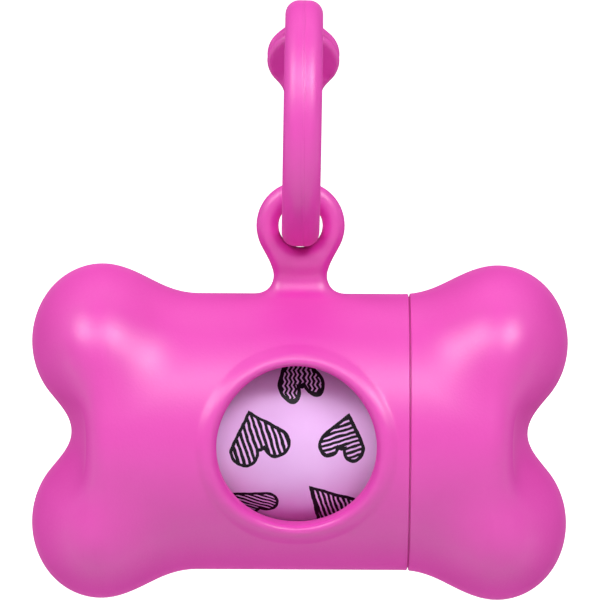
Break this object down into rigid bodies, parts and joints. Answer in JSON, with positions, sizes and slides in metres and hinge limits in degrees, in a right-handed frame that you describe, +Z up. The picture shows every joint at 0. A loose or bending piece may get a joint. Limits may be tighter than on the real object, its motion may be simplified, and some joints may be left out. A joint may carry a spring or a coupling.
{
  "type": "bone-shaped dog poop bag dispenser",
  "caption": "Pink bone-shaped soft dispenser for rolled dog poop bags, with a round lipped window, a pull-off end cap and a snap-closed ring strap to hang on a leash",
  "frame": {"origin": "middle of the ring strap's loop, where the lead passes through along X", "axes": "+X along the bone towards its pull-off cap, +Y away from the window towards the back, +Z up along the hanging line"},
  "size_m": [0.0852, 0.0447, 0.0953],
  "materials": {
    "soft_pink": "satin soft-touch silicone, even pink",
    "liner_plastic": "smooth moulded plastic, pink",
    "bag_film": "thin translucent lilac film printed with dark hatched hearts",
    "cardboard": "plain spiral-wound cardboard"
  },
  "bodies": {
    "strap": {"strap_loop": "soft_pink"},
    "flap": {"strap_flap": "soft_pink"},
    "case": {"case_skin": "soft_pink", "barrel": "liner_plastic"},
    "cap": {"cap_skin": "soft_pink", "cap_liner": "liner_plastic"},
    "roll": {"bag_roll": "bag_film", "roll_core": "cardboard", "leading_bag": "bag_film"}
  },
  "joints": [
    {"name": "case_swing", "type": "hinge", "parent": "strap", "child": "case", "pos_m": [0, 0, 0], "axis": [0.9999, 0, -0.0122], "range_deg": [-150, 96]},
    {"name": "strap_open", "type": "hinge", "parent": "strap", "child": "flap", "pos_m": [0.00021, 0.0085, 0.01744], "axis": [0.9999, 0, -0.0122], "range_deg": [0, 60]},
    {"name": "cap_pull", "type": "slide", "parent": "case", "child": "cap", "axis": [1, 0, 0], "range_m": [0, 0.03]},
    {"name": "roll_spin", "type": "hinge", "parent": "case", "child": "roll", "pos_m": [0, 0, -0.04975], "axis": [1, 0, 0], "continuous": true}
  ]
}
